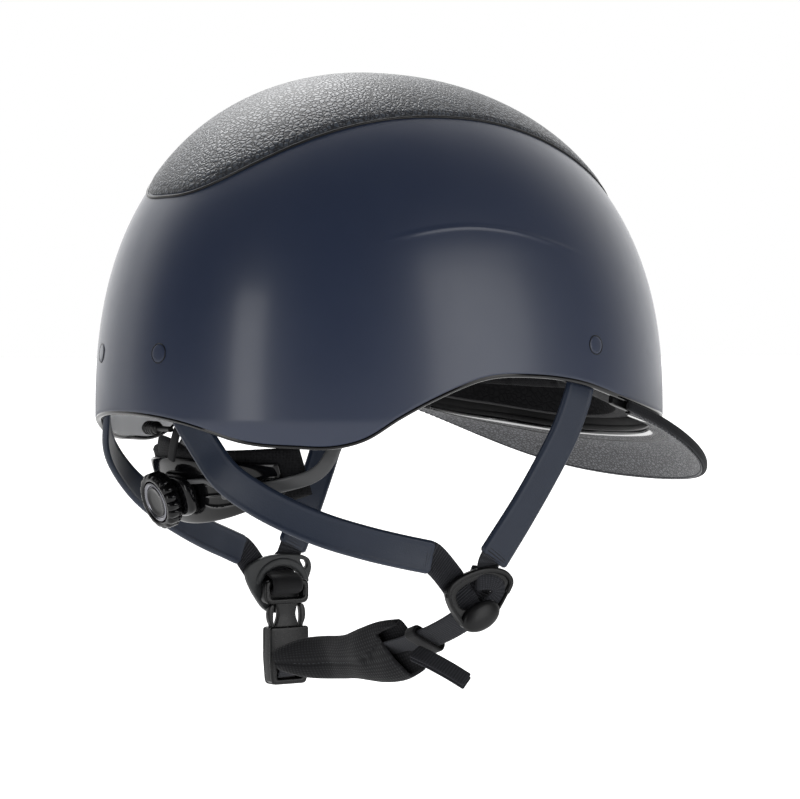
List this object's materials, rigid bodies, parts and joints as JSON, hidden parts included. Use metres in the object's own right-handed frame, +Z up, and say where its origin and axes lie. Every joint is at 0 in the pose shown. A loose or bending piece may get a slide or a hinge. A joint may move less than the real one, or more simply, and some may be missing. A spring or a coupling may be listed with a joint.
{
  "type": "equestrian riding helmet",
  "caption": "Peaked riding helmet with leather crown panel, four-point harness, side-release buckle, chin pad and a dial-adjusted occipital cradle.",
  "frame": {"origin": "centre of the head opening at the height of the rim", "axes": "+Z up out of the crown, -Y forwards over the peak, -X towards the wearer's right"},
  "size_m": [0.208, 0.3081, 0.2976],
  "materials": {
    "shell": "satin",
    "gloss_black": "gloss",
    "foam": "matte",
    "leather_grey": "pebbled",
    "matte_black": "satin",
    "binding": "satin",
    "padding": "matte",
    "steel": "satin",
    "leather_navy": "smooth",
    "webbing": "ribbed",
    "grey_plastic": "satin"
  },
  "bodies": {
    "helmet": {"outer_shell": "shell", "rim_trim": "gloss_black", "foam_liner": "foam", "crown_panel": "leather_grey", "crown_panel_piping": "gloss_black", "peak_core": "matte_black", "peak_leather": "leather_grey", "peak_gloss_trim": "gloss_black", "peak_cover": "leather_grey", "peak_binding": "binding", "crown_pad": "padding", "brow_pad": "padding", "side_pad_right": "padding", "side_pad_left": "padding", "rear_pad": "padding", "strap_anchor_plugs": "shell", "strap_anchor_backs": "steel", "front_sleeve_right": "leather_navy", "front_sleeve_left": "leather_navy", "rear_sleeve_right": "leather_navy", "rear_sleeve_left": "leather_navy", "front_webbing_right": "webbing", "front_webbing_left": "webbing", "rear_webbing_right": "webbing", "rear_webbing_left": "webbing", "divider_frame_right": "matte_black", "divider_frame_left": "matte_black", "divider_cap": "matte_black", "chin_webbing_right": "webbing", "strap_tail": "webbing", "buckle_loop": "webbing", "buckle_plug": "matte_black", "hanger_toggle": "matte_black", "hanger_strap": "webbing", "hanger_clip": "matte_black", "temple_guide_right": "matte_black", "temple_guide_left": "matte_black"},
    "chin_strap": {"buckle_socket": "matte_black", "chin_webbing_left": "webbing", "chin_pad": "padding"},
    "keeper": {"strap_keeper": "webbing"},
    "prong_front": {"prong_front": "matte_black"},
    "prong_rear": {"prong_rear": "matte_black"},
    "cradle": {"cradle_shell": "gloss_black", "cradle_pad": "padding", "dial_housing": "gloss_black"},
    "dial": {"dial_knob": "gloss_black", "dial_ring": "grey_plastic", "dial_cap": "matte_black", "dial_pinion": "grey_plastic", "dial_screw": "steel"},
    "band_right": {"rack_band_right": "grey_plastic", "band_pin_right": "steel"},
    "band_left": {"rack_band_left": "grey_plastic", "band_pin_left": "steel"}
  },
  "joints": [
    {"name": "dial_turn", "type": "hinge", "parent": "cradle", "child": "dial", "pos_m": [0, 0.11629, -0.04077], "axis": [0, 0.9511, -0.309], "range_deg": [-30, 100]},
    {"name": "cradle_slide", "type": "slide", "parent": "helmet", "child": "cradle", "axis": [0, -0.9511, 0.309], "range_m": [-0.00235, 0.00785]},
    {"name": "band_right_wrap", "type": "hinge", "parent": "cradle", "child": "band_right", "pos_m": [0, 0.0345, -0.0142], "axis": [0, 0.309, 0.9511], "range_deg": [-5.6, 1.8]},
    {"name": "band_left_wrap", "type": "hinge", "parent": "cradle", "child": "band_left", "pos_m": [0, 0.0345, -0.0142], "axis": [0, 0.309, 0.9511], "range_deg": [-1.8, 5.6]},
    {"name": "buckle_release", "type": "slide", "parent": "helmet", "child": "chin_strap", "axis": [0, 0, -1], "range_m": [0, 0.024]},
    {"name": "prong_front_press", "type": "hinge", "parent": "helmet", "child": "prong_front", "pos_m": [0.0792, -0.0012, -0.1008], "axis": [1, 0, 0], "range_deg": [0, 5], "stiffness_Nm_per_rad": 0.05},
    {"name": "prong_rear_press", "type": "hinge", "parent": "helmet", "child": "prong_rear", "pos_m": [0.0792, 0.0152, -0.1008], "axis": [-1, 0, 0], "range_deg": [0, 5], "stiffness_Nm_per_rad": 0.05},
    {"name": "keeper_slide", "type": "slide", "parent": "helmet", "child": "keeper", "axis": [0.9472, 0.0778, -0.311], "range_m": [-0.003, 0.003]}
  ],
  "couplings": [
    {"joint": "dial_turn", "follows": "cradle_slide", "rad_per_m": 222.22},
    {"joint": "band_right_wrap", "follows": "cradle_slide", "rad_per_m": -12.033},
    {"joint": "band_left_wrap", "follows": "cradle_slide", "rad_per_m": 12.033}
  ]
}
